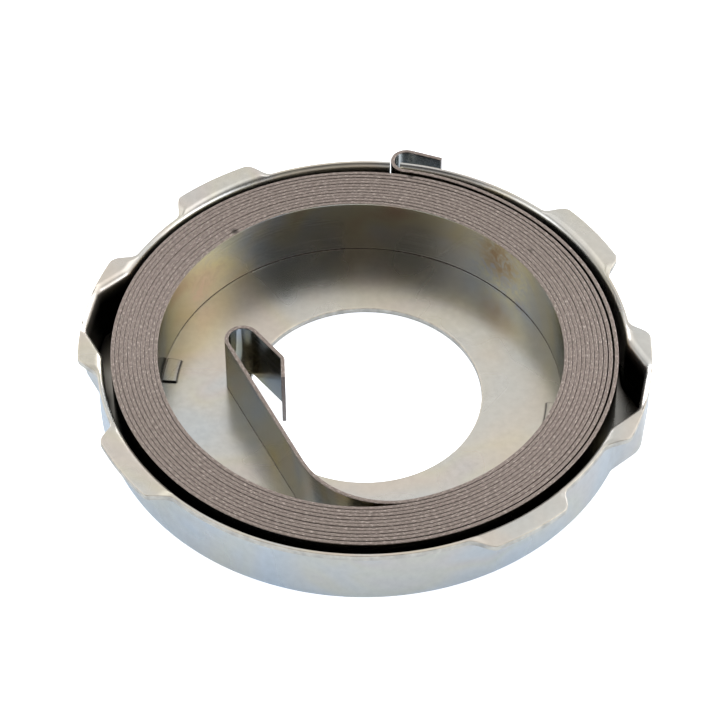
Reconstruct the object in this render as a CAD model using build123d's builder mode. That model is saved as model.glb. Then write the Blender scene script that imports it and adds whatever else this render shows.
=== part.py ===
from build123d import *
from math import cos, pi, radians, sin
import os

os.makedirs("parts", exist_ok=True)

# Recoil starter spring in its keeper: a drawn sheet-steel cup and a coiled flat strip.
# The origin is the centre of the large hole on the underside, with +Z up out of the open cup
# and +X through the middle of one of the two lobes. All sizes are in millimetres and degrees.

# Sheet and cup
sheet = 0.9                       # thickness of the pressed sheet
tab_top = 10.85                   # height of the flat rim tabs over the underside
rim_trim = 0.3                    # the wall between the tabs is cut this much lower
cavity_radius = 37.2              # inside radius of the round wall at the rim
wall_draft = 0.5                  # lean of the drawn wall below its rim
rim_band = 1.2                    # upright band at the rim
hole_radius = 16.8                # large hole in the floor
floor_bend = 0.15                 # inside bevel between floor and wall
foot_round = 2.5                  # outside radius between floor and wall
rim_bend = 1.1                    # radius with which the rim rolls outward

# Lobes in the wall
lobe_depth = 2.7                  # how far a lobe stands out of the round wall
lobe_reach = cavity_radius + lobe_depth
lobe_flat_angle = 5.5             # half angle of the flat
lobe_base_angle = 12.6            # half angle where the flanks meet the round wall
lobe_corner = 1.3                 # inside radius of the outer corners
lobe_blend = 4.0                  # radius where a flank runs out into the round wall

# Rim tabs
tab_reach = lobe_reach + sheet    # radius of the outer edge of the tabs
tab_base_angle = 11.8             # half angle of a plain tab at the wall
tab_end_angle = 8.7               # half angle of a plain tab at its outer edge
lobe_tab_base_angle = 17.8        # the same for the wide tab round a lobe
lobe_tab_end_angle = 14.4
tab_corner = 0.7                  # rounding of the outer corners
tab_root = 1.0                    # rounding where a tab leaves the wall
tab_overrun = 0.3                 # the slanting sides of a tab run on past its outer edge
overcut = 2.0                     # sheet cut away beyond the finished outline

# Half-pierced lugs in the floor, one on each side, which hold the coil from inside
lug_width = 4.2
lug_length = 2.0
lug_rise = 0.4
lug_round = 0.5
lug_direction = 2.0               # small angle off the line through the lobes
lug_clearance = 0.2               # between a lug and the inner face of the coil

# Spring strip
strip = 0.54                      # thickness
strip_width = 9.4
turn_clearance = 0.07             # open space between two turns
strip_lift = 0.15                 # the coil clears the radius at the foot of the wall
pitch = strip + turn_clearance
coil_gap = 1.01                   # from the wall to the outer turn, without lean and hook
coil_radius = cavity_radius - coil_gap - strip / 2
lean = 0.8                        # the turns bulge towards one side of the cup
lean_direction = 144.2
slack = 0.5                       # the outer turns stand apart on one side
slack_direction = 36.2
slack_closing = 0.45              # what is left of a gap from one turn to the next
hook_direction = 91.6             # direction of the outer hook
hook_rise = 0.36                  # the strip lifts to the wall where it enters the slot
hook_rise_angle = 36.0
last_turn_angle = 4117.4          # angle wound from the hook to where the inner arm leaves

# Outer hook, bent round the edge of the slot
hook_bend = 2.1
hook_sweep = 190.0
hook_leg = 4.8
slot_width = 1.7
slot_direction = 94.2

# Inner arm with its round hook and short tip
arm_bend = 13.7
arm_sweep = 77.2
arm_length = 24.3
eye_bend = 2.28
eye_sweep = 168.0
return_length = 6.2
tip_bend = 0.9
tip_sweep = 36.0
tip_length = 3.4


def polar(radius, angle):
    """Point of the ground plane at a radius and a direction."""
    return (radius * cos(radians(angle)), radius * sin(radians(angle)))


def centreline_radius(wound):
    """Centreline radius of the coil after an angle wound clockwise from the outer hook."""
    direction = hook_direction - wound
    turn = int((wound + 180.0 - hook_direction + slack_direction) // 360)
    bulge = lean * cos(radians(direction - lean_direction) / 2) ** 8
    opening = slack * (1 - slack_closing ** turn) * cos(radians(direction - slack_direction) / 2) ** 4
    rise = 0.0
    if wound < hook_rise_angle:
        rise = hook_rise * (1 + cos(pi * wound / hook_rise_angle)) / 2
    return coil_radius - pitch * wound / 360 + bulge - opening + rise


def coil_point(wound, side):
    """Point of the coil at a distance from its centreline, after an angle wound."""
    return polar(centreline_radius(wound) + side, hook_direction - wound)


def on_radius(shape, radius):
    """Vertices that lie on a circle round the origin."""
    return shape.vertices().filter_by(lambda v: abs(Vector(v.X, v.Y).length - radius) < 0.05)


# Plan of the drawn wall: a round cup with a lobe on either side
with BuildSketch() as cavity_plan:
    Circle(cavity_radius)
    with PolarLocations(0, 2):
        Polygon(
            (0, 0),
            polar(cavity_radius, -lobe_base_angle),
            polar(lobe_reach, -lobe_flat_angle),
            polar(lobe_reach, lobe_flat_angle),
            polar(cavity_radius, lobe_base_angle),
            align=None,
        )
    fillet(on_radius(cavity_plan, lobe_reach), radius=lobe_corner)
    flat_half = lobe_reach * sin(radians(lobe_flat_angle))
    flank_ends = on_radius(cavity_plan, cavity_radius).filter_by(lambda v: abs(v.Y) > flat_half)
    fillet(flank_ends, radius=lobe_blend)

with BuildSketch() as wall_plan:
    add(cavity_plan.sketch)
    offset(amount=sheet)

# Plan of the rim with four plain tabs and a wide one round each lobe
with BuildSketch() as tabs_only:
    with PolarLocations(0, 4, start_angle=45):
        Polygon(
            polar(cavity_radius - overcut, -tab_base_angle),
            polar(cavity_radius + sheet, -tab_base_angle),
            polar(tab_reach + tab_overrun, -tab_end_angle),
            polar(tab_reach + tab_overrun, tab_end_angle),
            polar(cavity_radius + sheet, tab_base_angle),
            polar(cavity_radius - overcut, tab_base_angle),
            align=None,
        )
    with PolarLocations(0, 2):
        Polygon(
            polar(cavity_radius - overcut, -lobe_tab_base_angle),
            polar(cavity_radius + sheet, -lobe_tab_base_angle),
            polar(tab_reach + tab_overrun, -lobe_tab_end_angle),
            polar(tab_reach + overcut, 0),
            polar(tab_reach + tab_overrun, lobe_tab_end_angle),
            polar(cavity_radius + sheet, lobe_tab_base_angle),
            polar(cavity_radius - overcut, lobe_tab_base_angle),
            align=None,
        )
    Circle(tab_reach, mode=Mode.INTERSECT)
    fillet(on_radius(tabs_only, tab_reach), radius=tab_corner)

with BuildSketch() as rim_plan:
    add(wall_plan.sketch)
    add(tabs_only.sketch)
    fillet(on_radius(rim_plan, cavity_radius + sheet), radius=tab_root)

# Outside of the pressed cup: drawn body with a draft and a round foot, and the rim with its tabs
with BuildPart() as blank:
    with BuildSketch(Plane.XY.offset(tab_top - rim_band)) as wall_level:
        add(wall_plan.sketch)
    extrude(amount=rim_band)
    extrude(wall_level.sketch, amount=rim_band - tab_top, taper=wall_draft)
    fillet(blank.edges().group_by(Axis.Z)[0], radius=foot_round)
    with BuildSketch(Plane.XY.offset(tab_top - sheet)):
        add(rim_plan.sketch)
    extrude(amount=sheet)

with BuildPart() as spring_housing:
    # Thick block under a flange all round, hollowed out, bent at the foot and rolled at the rim
    with BuildSketch():
        Circle(tab_reach + overcut)
    extrude(amount=tab_top)
    with BuildSketch(Plane.XY.offset(tab_top - rim_band)) as cavity_level:
        add(cavity_plan.sketch)
    extrude(cavity_level.sketch, amount=rim_band, mode=Mode.SUBTRACT)
    extrude(
        cavity_level.sketch,
        amount=rim_band + sheet - tab_top,
        taper=wall_draft,
        mode=Mode.SUBTRACT,
    )
    floor_edges = spring_housing.edges().filter_by_position(Axis.Z, sheet - 0.01, sheet + 0.01)
    chamfer(floor_edges, length=floor_bend)
    top_edges = spring_housing.edges().filter_by_position(Axis.Z, tab_top - 0.01, tab_top + 0.01)
    rim_edges = top_edges.filter_by(lambda e: Vector((e @ 0.5).X, (e @ 0.5).Y).length < tab_reach)
    fillet(rim_edges, radius=rim_bend)
    # Outside shape, and the wall trimmed lower between the tabs
    add(blank.part, mode=Mode.INTERSECT)
    with BuildSketch(Plane.XY.offset(tab_top)):
        Circle(tab_reach + overcut)
        add(tabs_only.sketch, mode=Mode.SUBTRACT)
    extrude(amount=-rim_trim, mode=Mode.SUBTRACT)
    # Hole in the floor
    with BuildSketch():
        Circle(hole_radius)
    extrude(amount=sheet, mode=Mode.SUBTRACT)
    # Slot in the wall, open at the rim, where the outer hook passes
    slot_middle = cavity_radius + sheet / 2
    with BuildSketch(Plane.XY.offset(sheet)):
        with Locations(Location(polar(slot_middle, slot_direction), slot_direction)):
            Rectangle(sheet + 2 * overcut, slot_width)
    extrude(amount=tab_top, mode=Mode.SUBTRACT)
    # Lugs pressed up out of the floor, hollow from below
    for side in (lug_direction, lug_direction + 180):
        coil_face = centreline_radius(hook_direction - side + 11 * 360) - strip / 2
        lug_place = Location(polar(coil_face - lug_clearance - lug_length / 2, side), side)
        with BuildSketch(Plane.XY.offset(sheet)):
            with Locations(lug_place):
                RectangleRounded(lug_length, lug_width, lug_round)
        extrude(amount=lug_rise)
        with BuildSketch():
            with Locations(lug_place):
                RectangleRounded(lug_length, lug_width, lug_round)
        extrude(amount=lug_rise, mode=Mode.SUBTRACT)
spring_housing.part.label = "spring_housing"

# Flat strip of spring steel: the coil, the hook through the slot and the arm at the inner end.
# Each side of the coil is a chain of arcs, an eighth of a turn long and shorter near the hook
wound_angles = [0, 12, 24, 36] + [45 * i for i in range(1, int(last_turn_angle // 45) + 1)]
wound_angles.append(last_turn_angle)
arc_ends = list(zip(wound_angles[:-1], wound_angles[1:]))

with BuildPart() as spiral_spring:
    with BuildSketch(Plane.XY.offset(sheet + strip_lift)):
        # Coil between its outer and its inner side
        with BuildLine():
            for side in (strip / 2, -strip / 2):
                for start, end in arc_ends:
                    ThreePointArc(
                        coil_point(start, side),
                        coil_point((start + end) / 2, side),
                        coil_point(end, side),
                    )
            for end in (0, last_turn_angle):
                Line(coil_point(end, strip / 2), coil_point(end, -strip / 2))
        make_face()
        # Outer hook: round bend through the slot and a straight leg outside the wall
        with BuildLine() as hook:
            hook_arc = JernArc(
                start=coil_point(0, 0),
                tangent=polar(1, hook_direction + 90),
                radius=hook_bend,
                arc_size=-hook_sweep,
            )
            PolarLine(start=hook_arc @ 1, length=hook_leg, direction=hook_arc % 1)
        trace(hook.line, line_width=strip)
        # Inner arm: wide bend, long straight arm, round eye, return leg and turned tip
        with BuildLine() as arm:
            arm_arc = JernArc(
                start=coil_point(last_turn_angle, 0),
                tangent=polar(1, hook_direction - last_turn_angle - 90),
                radius=arm_bend,
                arc_size=-arm_sweep,
            )
            straight = PolarLine(start=arm_arc @ 1, length=arm_length, direction=arm_arc % 1)
            eye = JernArc(start=straight @ 1, tangent=straight % 1, radius=eye_bend, arc_size=-eye_sweep)
            back = PolarLine(start=eye @ 1, length=return_length, direction=eye % 1)
            corner = JernArc(start=back @ 1, tangent=back % 1, radius=tip_bend, arc_size=-tip_sweep)
            PolarLine(start=corner @ 1, length=tip_length, direction=corner % 1)
        trace(arm.line, line_width=strip)
    extrude(amount=strip_width)
spiral_spring.part.label = "spiral_spring"

export_step(spring_housing.part, "parts/spring_housing.step")
export_step(spiral_spring.part, "parts/spiral_spring.step")
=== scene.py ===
import bmesh
import bpy
import numpy as np
from mathutils import Matrix, Vector


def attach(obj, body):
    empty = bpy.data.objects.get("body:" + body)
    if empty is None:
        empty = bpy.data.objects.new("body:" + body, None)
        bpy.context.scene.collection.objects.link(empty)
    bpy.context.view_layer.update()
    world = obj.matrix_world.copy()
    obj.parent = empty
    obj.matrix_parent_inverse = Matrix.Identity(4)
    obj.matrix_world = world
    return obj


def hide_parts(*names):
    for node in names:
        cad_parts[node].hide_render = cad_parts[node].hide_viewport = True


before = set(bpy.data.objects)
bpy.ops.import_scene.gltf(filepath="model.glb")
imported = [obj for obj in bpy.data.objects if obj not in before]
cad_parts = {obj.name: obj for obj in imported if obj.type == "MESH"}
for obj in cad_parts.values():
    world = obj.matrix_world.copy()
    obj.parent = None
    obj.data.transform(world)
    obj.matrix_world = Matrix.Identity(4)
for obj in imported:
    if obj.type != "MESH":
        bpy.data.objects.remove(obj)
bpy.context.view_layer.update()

# Spring housing. A cup pressed and drawn from 0.9 mm sheet steel, then zinc plated: a flat floor with
# a large pierced hole, a round wall with two lobes, rim tabs rolled outward, a slot for the outer hook
# and two small lugs half pierced out of the floor. Sizes in millimetres and degrees.
sheet = 0.9
cup_radius = 37.2
tab_top, plain_top = 10.85, 10.55
hole_radius = 16.8
lobe_flat, lobe_flank_distance, lobe_flank_direction = 39.716, 33.466, 38.49
lobe_corner, lobe_root = 0.5, 0.35
tab_radius = 40.795
tab_base, tab_end = 11.8, 8.7
lobe_tab_base, lobe_tab_end = 17.8, 14.4
tab_side, lobe_tab_side = 10.2, 16.1
tab_root, tab_corner = 0.35, 0.3
draft, draft_top = np.tan(np.radians(0.5)), 9.65
floor_mark = -99
tab_roll, foot_round, floor_bend = 1.35, 2.5, 0.2
rim_flat, lip, under_bend = 0.12, 0.1, 0.3
slot_direction, slot_width = 94.03, 1.48
lug_direction, lug_width, lug_rise, lug_round = 2.0, 4.2, 0.32, 0.1
lug_outer, lug_outer_opposite, lug_length = 28.17, 29.4, 2.0


def step(low, high, value):
    """Smooth step: 0 below low, 1 above high, and 3 t squared minus 2 t cubed between them."""
    part = np.clip((value - low) / (high - low), 0, 1)
    return part * part * (3 - 2 * part)


def lesser(first, second, blend):
    """Smooth minimum: the smaller of two curves, with their corner rounded over the blend distance."""
    share = np.clip(0.5 + 0.5 * (second - first) / blend, 0, 1)
    return second * (1 - share) + first * share - blend * share * (1 - share)


def from_tab(direction):
    """Angle from the middle of the nearest tab: first for plain tabs at 45 degrees, then for lobes."""
    plain = np.abs((direction - 45 + 45) % 90 - 45)
    wide = np.abs((direction + 90) % 180 - 90)
    return plain, wide


def wall_line(direction):
    """Radius of the inner wall at the rim: the circle, or a lobe bounded by its flat and its flanks,
    each a straight line d / cos(angle from its normal)."""
    wide = from_tab(direction)[1]
    wide = np.minimum(wide, lobe_flank_direction)
    flat = lobe_flat / np.cos(np.radians(wide))
    flank = lobe_flank_distance / np.cos(np.radians(wide - lobe_flank_direction))
    lobe = lesser(flat, flank, lobe_corner)
    return -lesser(-lobe, -cup_radius + 0 * lobe, lobe_root)


def tab_line(direction):
    """Radius of the outer edge of the rim tabs: a ramp from the wall to the tab radius between the base
    and the end angle of a tab, with both corners of the ramp rounded."""
    plain, wide = from_tab(direction)
    ramp = np.maximum((tab_base - plain) / (tab_base - tab_end),
                      (lobe_tab_base - wide) / (lobe_tab_base - lobe_tab_end))
    ramp = lesser(-lesser(-ramp, 0 * ramp, tab_root), 1 + 0 * ramp, tab_corner)
    return cup_radius + sheet + (tab_radius - cup_radius - sheet) * ramp


# Columns round the cup, closer together at the sides of the tabs, doubled where the metal is sheared
lug_half = np.degrees(lug_width / 2 / (lug_outer - lug_length / 2))
slot_half = np.degrees(slot_width / 2 / (cup_radius + sheet / 2))
sheared = np.array([lug_direction - lug_half, lug_direction + lug_half,
                    lug_direction + 180 - lug_half, lug_direction + 180 + lug_half,
                    slot_direction - slot_half, slot_direction + slot_half])
sides = np.concatenate([np.add.outer([45, 135, 225, 315], [-tab_side, tab_side]).ravel(),
                        np.add.outer([0, 180], [-lobe_tab_side, lobe_tab_side]).ravel()]) % 360
fine = np.add.outer(sides, np.arange(-2.4, 2.41, 0.24)).ravel() % 360
lug_sides = np.add.outer([lug_direction, lug_direction + 180], [-lug_half, lug_half]).ravel()
beside_lug = [-0.46, -0.3, -0.15, -0.06, 0.06, 0.15, 0.3, 0.46]
lug_round_columns = np.add.outer(lug_sides, beside_lug).ravel()
direction = np.concatenate([np.arange(0, 360, 0.6), fine]) % 360
near_sheared = np.abs((direction[:, None] - sheared[None, :] + 180) % 360 - 180).min(1)
direction = np.concatenate([direction[near_sheared > 0.5], sheared - 0.02, sheared + 0.02,
                            lug_round_columns]) % 360
direction = np.unique(np.round(direction, 3))

turn = np.radians(direction)
ray = np.stack([np.cos(turn), np.sin(turn)], -1)
wall = wall_line(direction)[:, None] * ray
ahead, behind = np.radians(direction + 0.05), np.radians(direction - 0.05)
tangent = (wall_line(direction + 0.05)[:, None] * np.stack([np.cos(ahead), np.sin(ahead)], -1)
           - wall_line(direction - 0.05)[:, None] * np.stack([np.cos(behind), np.sin(behind)], -1))
normal = np.stack([tangent[:, 1], -tangent[:, 0]], -1)
normal /= np.linalg.norm(normal, axis=1)[:, None]

plain, wide = from_tab(direction)
tab = np.maximum(1 - step(tab_end + 0.6, tab_base + 0.2, plain),
                 1 - step(lobe_tab_end + 0.6, lobe_tab_base + 0.2, wide))
outside = wall + sheet * normal
outside_turn = np.arctan2(outside[:, 1], outside[:, 0])
reach = np.maximum(np.linalg.norm(outside, axis=1), tab_line(np.degrees(outside_turn) % 360))
flange = reach[:, None] * np.stack([np.cos(outside_turn), np.sin(outside_turn)], -1)
overhang = np.linalg.norm(flange - outside, axis=1)
top = plain_top + (tab_top - plain_top) * tab
roll_start = tab_top - tab_roll
roll_sweep = np.arcsin(np.minimum((top - roll_start) / tab_roll, 1))
roll_reach = np.minimum(tab_roll * (1 - np.cos(roll_sweep)), overhang + sheet - rim_flat)
in_slot = np.abs(direction - slot_direction) < slot_half
from_lug = np.abs((direction - lug_direction + 90) % 180 - 90)
lug_swing = np.cos(turn - np.radians(lug_direction))
lug_edge = (lug_outer + lug_outer_opposite) / 2 + (lug_outer - lug_outer_opposite) / 2 * lug_swing

# Rows of the profile, from the edge of the hole over the floor, up the wall, out over the rim and
# back under the tabs, down the outside, round the foot and over the underside to the hole
floor_radii = [hole_radius + 0.02, hole_radius + 0.14, 17.2, 18.2, 20, 22, 24, 25.2]
lug_round_rows = np.array([0.01, 0.03, 0.06, 0.1])
lug_radii = [-lug_length - 0.3, -lug_length - 0.02, *(lug_round_rows - lug_length), -1.4, -0.6,
             *-lug_round_rows[::-1], 0.02, 0.3]
outer_radii = [30.5, 32, 33.5, 35]
rows, heights, outs, kinds, lug_shades = [], [], [], [], []


def add_row(place, height, out, kind, lug_shade=0.0):
    """One row of the profile: its places in plan, its heights, how far out of the inner wall it lies
    (floor_mark for rows of the floor), what kind of surface lies between it and the next row, and how much
    painted shade darkens it."""
    rows.append(place)
    heights.append(np.zeros(len(direction)) + height)
    outs.append(np.zeros(len(direction)) + out)
    kinds.append(kind)
    lug_shades.append(np.zeros(len(direction)) + lug_shade)


def add_floor(height, outward):
    """Floor rows in polar form. A lug rises at its sheared sides and turns over into its flat top in a
    quarter circle: the height at a distance inside its side is that of the circle."""
    radii = [r + 0 * direction for r in floor_radii[1:]]
    radii += [lug_edge + r for r in lug_radii]
    radii += [r + 0 * direction for r in outer_radii]
    for radius in radii if outward else radii[::-1]:
        inside = np.minimum(np.minimum(lug_edge - radius, radius - lug_edge + lug_length),
                            np.radians(lug_half - from_lug) * radius)
        turned_over = lug_round - np.clip(inside, 0, lug_round)
        raised = lug_rise - lug_round + np.sqrt(lug_round ** 2 - turned_over ** 2)
        # Painted shade along the sheared sides of the lug: a thin dark outline on the top floor round its
        # edge
        lug_outline_shade = 0.95 * step(-0.2, -0.03, inside) * step(0.14, 0.05, inside) * outward
        raised = np.where(inside > 0, raised, 0)
        add_row(radius[:, None] * ray, height + raised, floor_mark, "face", lug_outline_shade)


for height in (0.13, 0.45, 0.77):
    add_row(hole_radius * ray, height, floor_mark, "edge")
add_row((hole_radius + 0.04) * ray, 0.86, floor_mark, "edge")
add_floor(sheet, True)
foot_out = -draft * (draft_top - sheet - floor_bend)
for angle in np.radians([90, 72, 54, 36, 18, 0]):
    out = foot_out - floor_bend + floor_bend * np.cos(angle)
    add_row(wall + out * normal, sheet + floor_bend - floor_bend * np.sin(angle), out, "face")
for part in [0.15, 0.35, 0.6, 0.8, 0.93]:
    height = sheet + floor_bend + (roll_start - sheet - floor_bend) * part + 0 * direction
    out = -draft * np.maximum(draft_top - height, 0)
    add_row(wall + out[:, None] * normal, height, out, "face")
for part in [0, 0.13, 0.28, 0.42, 0.58, 0.72, 0.87, 1]:
    angle = roll_sweep * part
    out = np.minimum(tab_roll * (1 - np.cos(angle)), roll_reach)
    add_row(wall + out[:, None] * normal, roll_start + tab_roll * np.sin(angle), out, "roll")
inner_rows = len(rows)
over = wall + roll_reach[:, None] * normal
span = np.linalg.norm(flange - over, axis=1)[:, None]
for part in [0.25, 0.6, 0.85]:
    add_row(over + (flange - over) * part * (1 - lip / span), top, sheet, "roll")
for angle in np.radians([90, 60, 30, 0]):
    add_row(flange + (over - flange) / span * lip * (1 - np.cos(angle)),
            top - lip * (1 - np.sin(angle)), sheet, "edge")
for angle in np.radians([0, 30, 60, 90]):
    inset = lip * (1 - np.cos(angle)) * np.clip(overhang / 0.3, 0, 1)
    add_row(flange + (over - flange) / span * inset[:, None], top - sheet + lip * (1 - np.sin(angle)),
            sheet, "edge" if angle < 1.5 else "face")
bend = np.minimum(under_bend, overhang * 0.8)
toward = (flange - outside) / np.maximum(overhang, 1e-6)[:, None]
for angle in np.radians([90, 67, 45, 22, 0]):
    place = outside + toward * (bend * (1 - np.cos(angle)))[:, None]
    add_row(place, top - sheet - under_bend * (1 - np.sin(angle)) - 0.02, sheet, "face")
for part in [0.08, 0.25, 0.5, 0.75, 0.93]:
    height = (top - sheet - under_bend - 0.02) + (foot_round - (top - sheet - under_bend - 0.02)) * part
    out = sheet - draft * np.maximum(draft_top - height, 0)
    add_row(wall + out[:, None] * normal, height, out, "face")
foot = sheet - draft * (draft_top - foot_round)
for angle in np.radians([0, 11, 22, 33, 45, 57, 68, 79, 90]):
    out = foot - foot_round + foot_round * np.cos(angle)
    add_row(wall + out * normal, foot_round - foot_round * np.sin(angle), out, "face")
add_floor(0, False)
add_row((hole_radius + 0.04) * ray, 0.03, floor_mark, "edge")

plan = np.stack(rows)
height = np.stack(heights)
out = np.stack(outs)
# In the slot the wall is cut away down to the floor, which ends a little way out of the inner wall
slot_floor_end = 0.25
cut = in_slot[None, :] & (height > sheet) & (out > floor_mark / 2)
sheared_off = wall[None] + np.minimum(out, slot_floor_end)[:, :, None] * normal[None]
plan = np.where(cut[:, :, None], sheared_off, plan)
height = np.where(cut, sheet, height)
cup_points = np.concatenate([plan, height[:, :, None]], -1) / 1000


def surface(name, points, close_rows, close_columns, kinds, uv):
    """Mesh over a grid of points: each face joins four neighbours in rows and columns, and the last row
    or column joins the first where that direction is closed. A tube that is open at its ends gets a
    flat face over each. kinds gives each row's material, and uv its pattern coordinates."""
    count_rows, count_columns = points.shape[:2]
    index = np.arange(count_rows * count_columns, dtype=np.int32).reshape(count_rows, count_columns)
    row = np.arange(count_rows if close_rows else count_rows - 1)
    column = np.arange(count_columns if close_columns else count_columns - 1)
    next_row, next_column = (row + 1) % count_rows, (column + 1) % count_columns
    faces = np.stack([index[row][:, column], index[next_row][:, column],
                      index[next_row][:, next_column], index[row][:, next_column]], -1).reshape(-1)
    grid_uv = np.stack([uv[row][:, column], uv[row + 1][:, column],
                        uv[row + 1][:, column + 1], uv[row][:, column + 1]], -2).reshape(-1, 2)
    sizes = np.full(len(faces) // 4, 4, np.int32)
    materials = np.repeat(np.array(kinds, np.int32)[row], len(column))
    if close_rows and not close_columns:
        faces = np.concatenate([faces, index[::-1, 0], index[:, -1]])
        grid_uv = np.concatenate([grid_uv, uv[:-1][::-1, 0], uv[:-1, -1]])
        sizes = np.append(sizes, [count_rows, count_rows]).astype(np.int32)
        materials = np.append(materials, [max(kinds), max(kinds)]).astype(np.int32)
    mesh = bpy.data.meshes.new(name)
    mesh.vertices.add(count_rows * count_columns)
    mesh.vertices.foreach_set("co", points.reshape(-1).astype(np.float32))
    mesh.loops.add(len(faces))
    mesh.loops.foreach_set("vertex_index", faces)
    mesh.polygons.add(len(sizes))
    mesh.polygons.foreach_set("loop_start", np.append(0, np.cumsum(sizes)[:-1]).astype(np.int32))
    mesh.polygons.foreach_set("material_index", materials)
    mesh.polygons.foreach_set("use_smooth", np.ones(len(sizes), bool))
    layer = mesh.uv_layers.new(name="length_and_width")
    layer.data.foreach_set("uv", grid_uv.reshape(-1).astype(np.float32))
    mesh.update(calc_edges=True)
    mesh.validate()
    piece = bpy.data.objects.new(name, mesh)
    bpy.context.scene.collection.objects.link(piece)
    return piece


def clean(piece, angle):
    """Points that coincide are merged, faces without area go, and edges sharper than the angle stay
    sharp."""
    work = bmesh.new()
    work.from_mesh(piece.data)
    bmesh.ops.remove_doubles(work, verts=work.verts, dist=2e-6)
    bmesh.ops.dissolve_degenerate(work, dist=1e-6, edges=work.edges)
    work.to_mesh(piece.data)
    work.free()
    piece.data.set_sharp_from_angle(angle=np.radians(angle))


# Pattern coordinates run round the cup and along its profile, in tenths of a metre. Painted shade darkens
# the gap round the coil: the inner wall below the rim, and the floor close to the wall
gap_shade_full_below, gap_shade_gone_above = 8.4, 9.4
gap_shade_inner_radius, gap_shade_outer_radius = 35.2, 36.5
spacing = np.linalg.norm(np.diff(np.concatenate([cup_points, cup_points[:1]]), axis=0), axis=2)
housing_uv = np.zeros((len(rows) + 1, len(direction) + 1, 2))
housing_uv[:, :, 0] = (np.append(direction, 360 + direction[0]) / 360 * 2.36)[None, :]
housing_uv[1:, :-1, 1] = np.cumsum(spacing, axis=0) * 10
housing_uv[:, -1, 1] = housing_uv[:, 0, 1]
inner = np.arange(len(rows))[:, None] < inner_rows
shade_on_wall = inner * (out > floor_mark / 2) * step(0.45, 0.1, out) * step(gap_shade_gone_above, gap_shade_full_below, height)
shade_on_floor = step(gap_shade_inner_radius, gap_shade_outer_radius, np.linalg.norm(plan, axis=2))
shade_on_floor = shade_on_floor * (out < floor_mark / 2) * (height > sheet / 2)
gap_shade = np.maximum(shade_on_wall + shade_on_floor, np.stack(lug_shades))
housing = surface("spring_housing_pressed", cup_points, True, True, [int(k == "edge") for k in kinds],
                  housing_uv)


def linear(colour):
    """A written sRGB colour as linear values: below 0.04045 a division by 12.92, and above it a power
    of 2.4, as the sRGB curve has it."""
    value = np.array([int(colour[i:i + 2], 16) for i in (1, 3, 5)]) / 255
    value = np.where(value <= 0.04045, value / 12.92, ((value + 0.055) / 1.055) ** 2.4)
    return (*value.tolist(), 1.0)


def add(tree, kind, settings={}, links={}):
    """One node: its settings, socket values given by name or number, and the links that feed it."""
    made = tree.nodes.new(kind)
    for name, value in settings.items():
        if isinstance(name, str) and hasattr(made, name) and name not in made.inputs:
            setattr(made, name, value)
        else:
            made.inputs[name].default_value = value
    for name, source in links.items():
        tree.links.new(source, made.inputs[name])
    return made


def colour_ramp(tree, source, stops):
    """Colours along a value, given as pairs of place and written colour."""
    ramp = add(tree, "ShaderNodeValToRGB", {}, {"Fac": source})
    while len(ramp.color_ramp.elements) < len(stops):
        ramp.color_ramp.elements.new(0.5)
    for element, (place, colour) in zip(ramp.color_ramp.elements, stops):
        element.position = place
        element.color = linear(colour)
    return ramp.outputs["Color"]


def new_material(name):
    """An empty node material with its shader, and the shader."""
    material = bpy.data.materials.new(name)
    material.use_nodes = True
    tree = material.node_tree
    tree.nodes.clear()
    shader = tree.nodes.new("ShaderNodeBsdfPrincipled")
    output = tree.nodes.new("ShaderNodeOutputMaterial")
    tree.links.new(shader.outputs["BSDF"], output.inputs["Surface"])
    return material, tree, shader


# Zinc-plated steel, bright with a thin clear passivation: soft reflections, a faint mottling from the
# bath and pale straw, pink and blue interference tints, in patches of 8 to 20 mm. Painted shade darkens
# it where the gap round the coil gets deep
zinc_plate, tree, shader = new_material("zinc-plated sheet steel")
place = add(tree, "ShaderNodeTexCoord").outputs["Object"]
patches = add(tree, "ShaderNodeTexNoise",
              {"Scale": 70, "Detail": 2, "Roughness": 0.5, "Distortion": 0.6}, {"Vector": place})
base = colour_ramp(tree, patches.outputs["Fac"], [(0.3, "#b9bdc1"), (0.5, "#bfbeba"), (0.7, "#c2bdb5")])
tints = add(tree, "ShaderNodeTexNoise", {"Scale": 45, "Detail": 1, "Roughness": 0.4, "Distortion": 1.2},
            {"Vector": place})
film = colour_ramp(tree, tints.outputs["Fac"],
                   [(0.3, "#adbdce"), (0.42, "#c3c3c2"), (0.5, "#cbc3a8"), (0.58, "#c9b8b2"),
                    (0.68, "#b0bccb")])
mixed = add(tree, "ShaderNodeMix", {"data_type": "RGBA", "blend_type": "MIX", 0: 0.24}, {6: base, 7: film})
mottle = add(tree, "ShaderNodeTexNoise", {"Scale": 900, "Detail": 3, "Roughness": 0.6}, {"Vector": place})
mottled = add(tree, "ShaderNodeMapRange",
              {"From Min": 0.3, "From Max": 0.7, "To Min": 0.94, "To Max": 1.03},
              {"Value": mottle.outputs["Fac"]})
coloured = add(tree, "ShaderNodeMix", {"data_type": "RGBA", "blend_type": "MULTIPLY", 0: 1.0},
               {6: mixed.outputs[2], 7: mottled.outputs["Result"]})
# Painted shade: the gap round the coil and the outlines of the lugs are mixed towards dark grey
shade_amount = add(tree, "ShaderNodeAttribute", {"attribute_name": "painted_shade"})
darkened = add(tree, "ShaderNodeMix", {"data_type": "RGBA", "blend_type": "MIX", 7: linear("#292827")},
               {0: shade_amount.outputs["Fac"], 6: coloured.outputs[2]})
tree.links.new(darkened.outputs[2], shader.inputs["Base Color"])
rough = add(tree, "ShaderNodeMapRange",
            {"From Min": 0.3, "From Max": 0.7, "To Min": 0.22, "To Max": 0.34},
            {"Value": patches.outputs["Fac"]})
tree.links.new(rough.outputs["Result"], shader.inputs["Roughness"])
grain = add(tree, "ShaderNodeBump", {"Strength": 0.015, "Distance": 0.00002},
            {"Height": mottle.outputs["Fac"]})
tree.links.new(grain.outputs["Normal"], shader.inputs["Normal"])
shader.inputs["Metallic"].default_value = 1.0

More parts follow.
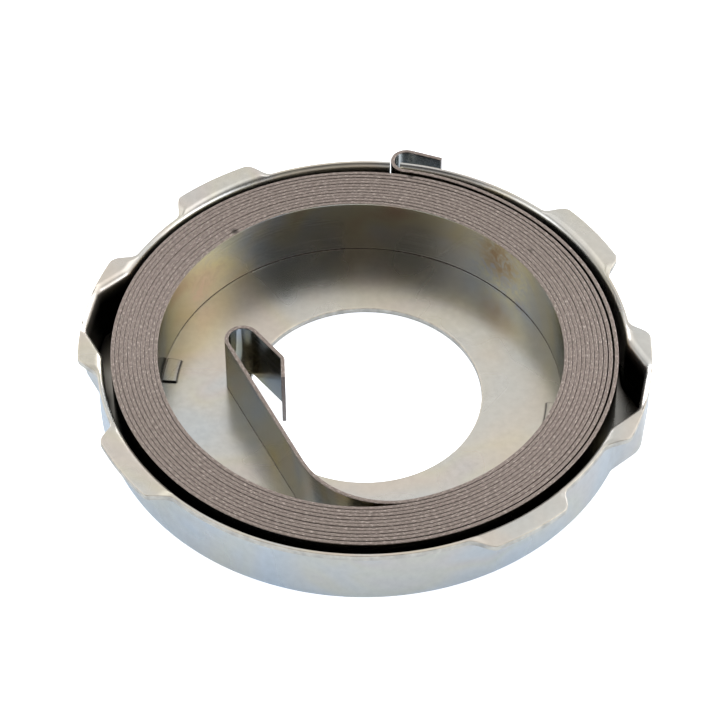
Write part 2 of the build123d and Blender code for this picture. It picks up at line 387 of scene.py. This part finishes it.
# The same plating over sheared edges, where the bath leaves it a little lighter and rougher
sheared_edge, tree, shader = new_material("zinc-plated sheared edge")
place = add(tree, "ShaderNodeTexCoord").outputs["Object"]
torn = add(tree, "ShaderNodeTexNoise", {"Scale": 700, "Detail": 3, "Roughness": 0.6}, {"Vector": place})
rough_plate = colour_ramp(tree, torn.outputs["Fac"],
                          [(0.3, "#aca69e"), (0.55, "#c4bdb2"), (0.75, "#d2ccc2")])
tree.links.new(rough_plate, shader.inputs["Base Color"])
shader.inputs["Metallic"].default_value = 0.9
shader.inputs["Roughness"].default_value = 0.42
grain = add(tree, "ShaderNodeBump", {"Strength": 0.2, "Distance": 0.0001}, {"Height": torn.outputs["Fac"]})
tree.links.new(grain.outputs["Normal"], shader.inputs["Normal"])

# The painted shade of the gap and of the lug outlines is stored on the points of the cup
painted_shade = housing.data.attributes.new("painted_shade", "FLOAT", "POINT")
painted_shade.data.foreach_set("value", gap_shade.reshape(-1).astype(np.float32))
clean(housing, 42)
for material in (zinc_plate, sheared_edge):
    housing.data.materials.append(material)
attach(housing, "root")
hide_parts("spring_housing")

# Spiral spring. One flat strip of hardened and polished spring steel, 9.5 by 0.56 mm, with slit and
# rounded long edges: eleven and a half turns, a hook that passes the slot at the outer end, and at the
# inner end a wide bend, a straight arm, a round eye, a return leg and a turned tip. It is let down by
# heat at both ends, where it is bent, and rests loosely on the floor of the cup.
strip, strip_width, strip_bottom = 0.56, 9.5, 0.95
pitch, coil_radius = 0.61, 35.92
lean, lean_direction = 0.8, 144.2
slack, slack_direction, slack_closing = 0.5, 36.2, 0.45
hook_direction, hook_rise, hook_rise_angle = 91.6, 0.36, 36.0
last_wound = 4117.4
hook_bend, hook_sweep, hook_leg = 2.09, 190.0, 4.8
arm_path = [(13.7, 77.2), 24.3, (2.28, 168.0), 6.2, (0.9, 36.0), 3.4]


def coil_line(wound):
    """Centreline radius after an angle wound from the hook: a steady decrease by one pitch a turn, plus
    a bulge to one side, less the gaps between the outer turns, plus the lift where the hook begins."""
    heading = hook_direction - wound
    count = (wound + 180 - hook_direction + slack_direction) // 360
    bulge = lean * np.cos(np.radians(heading - lean_direction) / 2) ** 8
    opening = slack * (1 - slack_closing ** count) * np.cos(np.radians(heading - slack_direction) / 2) ** 4
    rise = np.where(wound < hook_rise_angle, hook_rise * (1 + np.cos(np.pi * wound / hook_rise_angle)) / 2, 0)
    return coil_radius - pitch * wound / 360 + bulge - opening + rise


def run(start, heading, pieces, spacing):
    """Centreline through straight lengths and clockwise arcs (radius, sweep), from a start and heading:
    the heading falls evenly along an arc, and a point moves along it by the chord of each short step."""
    steps, turns = [], []
    for piece in pieces:
        length = np.radians(piece[1]) * piece[0] if isinstance(piece, tuple) else piece
        count = max(int(np.ceil(length / spacing)), 8)
        steps.append(np.full(count, length / count))
        turns.append(np.full(count, piece[1] / count if isinstance(piece, tuple) else 0.0))
    steps, turns = np.concatenate(steps), np.concatenate(turns)
    middle = np.radians(heading - np.cumsum(turns) + turns / 2)
    moves = steps[:, None] * np.stack([np.cos(middle), np.sin(middle)], -1)
    return np.concatenate([[start], start + np.cumsum(moves, axis=0)])


wound = np.linspace(0, last_wound, 2600)
bearing = np.radians(hook_direction - wound)
coil = coil_line(wound)[:, None] * np.stack([np.cos(bearing), np.sin(bearing)], -1)
hook = run(coil[0], hook_direction + 90, [(hook_bend, hook_sweep), hook_leg], 0.25)
arm = run(coil[-1], hook_direction - last_wound - 90, arm_path, 0.3)
centreline = np.concatenate([hook[:0:-1], coil, arm[1:]])
forward = np.gradient(centreline, axis=0)
forward /= np.linalg.norm(forward, axis=1)[:, None]
side = np.stack([-forward[:, 1], forward[:, 0]], -1)
length = np.concatenate([[0], np.cumsum(np.linalg.norm(np.diff(centreline, axis=0), axis=1))])

# Section of the strip: a flat rectangle with rounded corners, closed, with a point beside each corner
# so that the flats stay flat when shaded. Each turn lies a few hundredths higher or lower than the next
corner = 0.09
across, upward, edge_kind = [], [], []
for quarter, (x_sign, z_sign) in enumerate([(1, -1), (1, 1), (-1, 1), (-1, -1)]):
    angles = np.radians(np.array([-90, -60, -30, 0]) + 90 * quarter)
    x = x_sign * (strip / 2 - corner) + corner * np.cos(angles)
    z = strip_width / 2 + z_sign * (strip_width / 2 - corner) + corner * np.sin(angles)
    if quarter % 2 == 0:
        across += [*x, x[-1]]
        upward += [*z, z[-1] - 0.25 * z_sign]
        edge_kind += [1, 1, 1, 0, 0]
    else:
        across += [x[0], *x]
        upward += [z[0] - 0.25 * z_sign, *z]
        edge_kind += [0, 1, 1, 1, 1]
across, upward = np.array(across), np.array(upward)
uneven = 0.02 * np.sin(length / 23.0) + 0.015 * np.sin(length / 7.3 + 1.0) - 0.035
level = strip_bottom + upward[:, None] + np.where(upward > strip_width / 2, 1, 0)[:, None] * uneven[None, :]
spring_plan = centreline[None] + across[:, None, None] * side[None]
spring_points = np.concatenate([spring_plan, level[:, :, None]], -1) / 1000
outline = np.hypot(np.diff(across, append=across[0]), np.diff(upward, append=upward[0]))
spring_uv = np.zeros((len(across) + 1, len(length), 2))
spring_uv[:, :, 0] = length[None, :] / 100
spring_uv[1:, :, 1] = np.cumsum(outline)[:, None] / 100
let_down = np.maximum(step(16, 9, length), step(length[-1] - 62, length[-1] - 30, length))
spring = surface("spiral_spring_strip", spring_points, True, False, edge_kind, spring_uv)
spring.data.set_sharp_from_angle(angle=np.radians(50))
heat = spring.data.attributes.new("heat", "FLOAT", "POINT")
heat.data.foreach_set("value", np.tile(let_down, len(across)).astype(np.float32))

# Hardened and polished strip: a dark mirror with fine lines along it from rolling, a thin film of oil
# with straw and olive tints. The lines are drawn coarser than the real ones, which are too fine to show
polished_strip, tree, shader = new_material("hardened polished spring strip")
place = add(tree, "ShaderNodeTexCoord").outputs["Object"]
along = add(tree, "ShaderNodeMapping", {"Scale": (0.4, 60, 1)},
            {"Vector": add(tree, "ShaderNodeUVMap", {"uv_map": "length_and_width"}).outputs["UV"]})
lines = add(tree, "ShaderNodeTexNoise", {"Scale": 6, "Detail": 3, "Roughness": 0.6},
            {"Vector": along.outputs["Vector"]})
oil = add(tree, "ShaderNodeTexNoise", {"Scale": 55, "Detail": 2, "Roughness": 0.5, "Distortion": 0.8},
          {"Vector": place})
steel = colour_ramp(tree, oil.outputs["Fac"],
                    [(0.26, "#9a9db8"), (0.38, "#b6b9bd"), (0.5, "#bdbab2"), (0.6, "#c2bba4"),
                     (0.72, "#b8a08c")])
# Two dried patches of old oil on the inner turn: straw coloured, with a rusty core on the right one
streaks = add(tree, "ShaderNodeTexNoise",
              {"Scale": 600, "Detail": 4, "Roughness": 0.7, "Distortion": 1.5}, {"Vector": place})
for spot, spread, tone, amount in (((-0.0252, 0.0139, 0.007), 0.0085, "#cfc9a6", 0.7),
                                   ((-0.0262, 0.0122, 0.0045), 0.0045, "#c9aea6", 0.6),
                                   ((0.0169, 0.0234, 0.006), 0.0095, "#d6cea6", 0.75),
                                   ((0.0158, 0.0241, 0.0072), 0.0055, "#99775a", 0.75)):
    away = add(tree, "ShaderNodeVectorMath", {"operation": "DISTANCE", 1: spot}, {0: place})
    near = add(tree, "ShaderNodeMapRange",
               {"interpolation_type": "SMOOTHSTEP", "From Min": spread, "From Max": spread * 0.2,
                "To Min": 0.0, "To Max": amount},
               {"Value": away.outputs["Value"]})
    broken = add(tree, "ShaderNodeMapRange",
                 {"From Min": 0.4, "From Max": 0.58, "To Min": 0.15, "To Max": 1.0},
                 {"Value": streaks.outputs["Fac"]})
    patch = add(tree, "ShaderNodeMath", {"operation": "MULTIPLY"},
                {0: near.outputs["Result"], 1: broken.outputs["Result"]})
    stained = add(tree, "ShaderNodeMix", {"data_type": "RGBA", "blend_type": "MIX", 7: linear(tone)},
                  {0: patch.outputs["Value"], 6: steel})
    steel = stained.outputs[2]
heated = add(tree, "ShaderNodeAttribute", {"attribute_name": "heat"})
blued = add(tree, "ShaderNodeMix", {"data_type": "RGBA", "blend_type": "MIX", 7: linear("#454e55")},
            {0: heated.outputs["Fac"], 6: steel})
tree.links.new(blued.outputs[2], shader.inputs["Base Color"])
rough = add(tree, "ShaderNodeMapRange",
            {"From Min": 0.3, "From Max": 0.7, "To Min": 0.12, "To Max": 0.22},
            {"Value": lines.outputs["Fac"]})
tree.links.new(rough.outputs["Result"], shader.inputs["Roughness"])
grain = add(tree, "ShaderNodeBump", {"Strength": 0.03, "Distance": 0.00002}, {"Height": lines.outputs["Fac"]})
tree.links.new(grain.outputs["Normal"], shader.inputs["Normal"])
shader.inputs["Metallic"].default_value = 1.0
shader.inputs["Specular Tint"].default_value = linear("#8d8f8c")

# Slit and rounded edges of the strip: browned and duller, with bright flecks and a few dark specks
slit_edge, tree, shader = new_material("browned strip edge")
place = add(tree, "ShaderNodeTexCoord").outputs["Object"]
along = add(tree, "ShaderNodeMapping", {"Scale": (1, 8, 1)},
            {"Vector": add(tree, "ShaderNodeUVMap", {"uv_map": "length_and_width"}).outputs["UV"]})
flecks = add(tree, "ShaderNodeTexNoise", {"Scale": 160, "Detail": 3, "Roughness": 0.65},
             {"Vector": along.outputs["Vector"]})
brown = colour_ramp(tree, flecks.outputs["Fac"],
                    [(0.3, "#675f5c"), (0.5, "#817774"), (0.59, "#968c88"), (0.69, "#e4dcd6")])
spots = add(tree, "ShaderNodeTexVoronoi", {"Scale": 300}, {"Vector": place})
dark = add(tree, "ShaderNodeMapRange",
           {"From Min": 0.1, "From Max": 0.22, "To Min": 0.25, "To Max": 1.0},
           {"Value": spots.outputs["Distance"]})
few = add(tree, "ShaderNodeSeparateColor", {}, {"Color": spots.outputs["Color"]})
rare = add(tree, "ShaderNodeMath", {"operation": "GREATER_THAN", 1: 0.05}, {0: few.outputs["Red"]})
kept = add(tree, "ShaderNodeMath", {"operation": "MAXIMUM"},
           {0: dark.outputs["Result"], 1: rare.outputs["Value"]})
speckled = add(tree, "ShaderNodeMix", {"data_type": "RGBA", "blend_type": "MULTIPLY", 0: 1.0},
               {6: brown, 7: kept.outputs["Value"]})
handled = add(tree, "ShaderNodeAttribute", {"attribute_name": "heat"})
worn = add(tree, "ShaderNodeMath", {"operation": "MULTIPLY", 1: 0.5}, {0: handled.outputs["Fac"]})
brightened = add(tree, "ShaderNodeMix",
                 {"data_type": "RGBA", "blend_type": "MIX", 7: linear("#b3aca6")},
                 {0: worn.outputs["Value"], 6: speckled.outputs[2]})
tree.links.new(brightened.outputs[2], shader.inputs["Base Color"])
grain = add(tree, "ShaderNodeBump", {"Strength": 0.25, "Distance": 0.00005},
            {"Height": flecks.outputs["Fac"]})
tree.links.new(grain.outputs["Normal"], shader.inputs["Normal"])
shader.inputs["Metallic"].default_value = 0.75
shader.inputs["Roughness"].default_value = 0.45

for material in (polished_strip, slit_edge):
    spring.data.materials.append(material)
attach(spring, "root")
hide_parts("spiral_spring")

# Studio: a pale table top just under the cup, seen white, that keeps a faint shadow and is mirrored a
# little cooler in the outside of the wall
table_top, tree, shader = new_material("white table top")
shader.inputs["Base Color"].default_value = linear("#e4edf8")
shader.inputs["Roughness"].default_value = 0.8
seen = add(tree, "ShaderNodeLightPath")
cool = add(tree, "ShaderNodeMix", {"data_type": "RGBA", 6: (0.74, 0.92, 1.16, 1), 7: (1, 1, 1, 1)},
           {0: seen.outputs["Is Camera Ray"]})
tree.links.new(cool.outputs[2], shader.inputs["Emission Color"])
direct = add(tree, "ShaderNodeMath", {"operation": "MULTIPLY_ADD", 1: 0.71, 2: 0.25},
             {0: seen.outputs["Is Camera Ray"]})
glow = add(tree, "ShaderNodeMath", {"operation": "MULTIPLY_ADD", 1: 0.12},
           {0: seen.outputs["Is Glossy Ray"], 2: direct.outputs["Value"]})
tree.links.new(glow.outputs["Value"], shader.inputs["Emission Strength"])
table_mesh = bpy.data.meshes.new("table top")
under = -0.0001
table_mesh.from_pydata([(-3, -3, under), (3, -3, under), (3, 3, under), (-3, 3, under)], [], [(0, 1, 2, 3)])
table = bpy.data.objects.new("table top", table_mesh)
table_mesh.materials.append(table_top)
bpy.context.scene.collection.objects.link(table)

# Room: white where the camera looks past the table; in reflections a wide pale light from behind and
# above that falls off to a dim room on the near side, three paler stretches of wall, and light low
# down on the near side
camera_side = 11.2
world = bpy.data.worlds.new("studio")
bpy.context.scene.world = world
world.use_nodes = True
tree = world.node_tree
tree.nodes.clear()
path = add(tree, "ShaderNodeLightPath")
aim = add(tree, "ShaderNodeTexCoord").outputs["Generated"]
turned = np.radians(camera_side)
window = (0.55 * np.cos(turned) - np.sin(turned), 0.55 * np.sin(turned) + np.cos(turned), 0)
facing = add(tree, "ShaderNodeVectorMath", {"operation": "DOT_PRODUCT", 1: window}, {0: aim})
wide_light = add(tree, "ShaderNodeMapRange",
                 {"interpolation_type": "SMOOTHSTEP", "From Min": -0.1, "From Max": 0.45, "To Min": 0.1,
                  "To Max": 1.06},
                 {"Value": facing.outputs["Value"]})
height_above = add(tree, "ShaderNodeSeparateXYZ", {}, {"Vector": aim})
ceiling = add(tree, "ShaderNodeMapRange",
              {"interpolation_type": "SMOOTHSTEP", "From Min": 0.75, "From Max": 1.0, "To Min": 0.0,
               "To Max": 0.6},
              {"Value": height_above.outputs["Z"]})
room = add(tree, "ShaderNodeMath", {"operation": "MAXIMUM"},
           {0: wide_light.outputs["Result"], 1: ceiling.outputs["Result"]}).outputs["Value"]
for across_room, away, brightness in ((0.583, 0.335, 1.15), (-0.583, 0.335, 0.85), (-0.66, -0.1, 0.45)):
    wall_side = (across_room * np.cos(turned) - away * np.sin(turned),
                 across_room * np.sin(turned) + away * np.cos(turned), 0.74)
    towards = add(tree, "ShaderNodeVectorMath", {"operation": "DOT_PRODUCT", 1: wall_side}, {0: aim})
    pale_wall = add(tree, "ShaderNodeMapRange",
                    {"interpolation_type": "SMOOTHSTEP", "From Min": 0.86, "From Max": 0.98,
                     "To Min": 0.0, "To Max": brightness},
                    {"Value": towards.outputs["Value"]})
    room = add(tree, "ShaderNodeMath", {"operation": "ADD"},
               {0: room, 1: pale_wall.outputs["Result"]}).outputs["Value"]
near_side = add(tree, "ShaderNodeMapRange",
                {"From Min": 0.0, "From Max": -0.3, "To Min": 0.0, "To Max": 0.75},
                {"Value": facing.outputs["Value"]})
low_side = add(tree, "ShaderNodeMapRange",
               {"interpolation_type": "SMOOTHSTEP", "From Min": 0.3, "From Max": 0.56, "To Min": 1.0,
                "To Max": 0.0},
               {"Value": height_above.outputs["Z"]})
room = add(tree, "ShaderNodeMath", {"operation": "MULTIPLY_ADD"},
           {0: near_side.outputs["Result"], 1: low_side.outputs["Result"], 2: room}).outputs["Value"]
strength = add(tree, "ShaderNodeMath", {"operation": "MAXIMUM"}, {0: room, 1: path.outputs["Is Camera Ray"]})
warmth = add(tree, "ShaderNodeMix", {"data_type": "RGBA", 6: (1.04, 1.0, 0.93, 1), 7: (1, 1, 1, 1)},
             {0: path.outputs["Is Camera Ray"]})
background = add(tree, "ShaderNodeBackground", {},
                 {"Color": warmth.outputs[2], "Strength": strength.outputs["Value"]})
output = add(tree, "ShaderNodeOutputWorld", {}, {"Surface": background.outputs["Background"]})


def softbox(name, azimuth, elevation, distance, size, power):
    """Area lamp over the cup at an azimuth and elevation, facing the cup."""
    lamp = bpy.data.lights.new(name, "AREA")
    lamp.size = size
    lamp.energy = power
    turned, raised = np.radians(azimuth), np.radians(elevation)
    back = Vector((np.sin(turned) * np.cos(raised), -np.cos(turned) * np.cos(raised), np.sin(raised)))
    holder = bpy.data.objects.new(name, lamp)
    aimed = back.to_track_quat("Z", "Y").to_matrix().to_4x4()
    holder.matrix_world = Matrix.Translation(back * distance) @ aimed
    bpy.context.scene.collection.objects.link(holder)


# Two lamps behind the cup give the highlights of the rolled rim, and two low ones light its sides
softbox("softbox behind right", 151, 16, 0.9, 0.3, 2.4)
softbox("softbox behind left", 231, 16, 0.9, 0.3, 2.0)
softbox("low softbox right", 80, 20, 0.9, 0.45, 1.7)
softbox("low softbox left", 302, 20, 0.9, 0.45, 1.0)

# Camera at the photograph's angle, 0.49 m away with a long lens
turned, raised, roll_angle = np.radians(camera_side), np.radians(47.62), np.radians(-0.34)
back = Vector((np.sin(turned) * np.cos(raised), -np.cos(turned) * np.cos(raised), np.sin(raised)))
right = Vector((np.cos(turned), np.sin(turned), 0))
up = back.cross(right)
camera = bpy.data.cameras.new("camera")
camera.sensor_width = 36
camera.lens = 169.5
holder = bpy.data.objects.new("camera", camera)
frame_axes = Matrix((right * np.cos(roll_angle) + up * np.sin(roll_angle),
                     up * np.cos(roll_angle) - right * np.sin(roll_angle), back)).transposed()
looked_at, distance = Vector((-0.00122, 0.00258, 0.005)), 0.4877
holder.matrix_world = Matrix.Translation(looked_at + back * distance) @ frame_axes.to_4x4()
bpy.context.scene.collection.objects.link(holder)
bpy.context.scene.camera = holder
bpy.context.scene.view_settings.view_transform = "Standard"
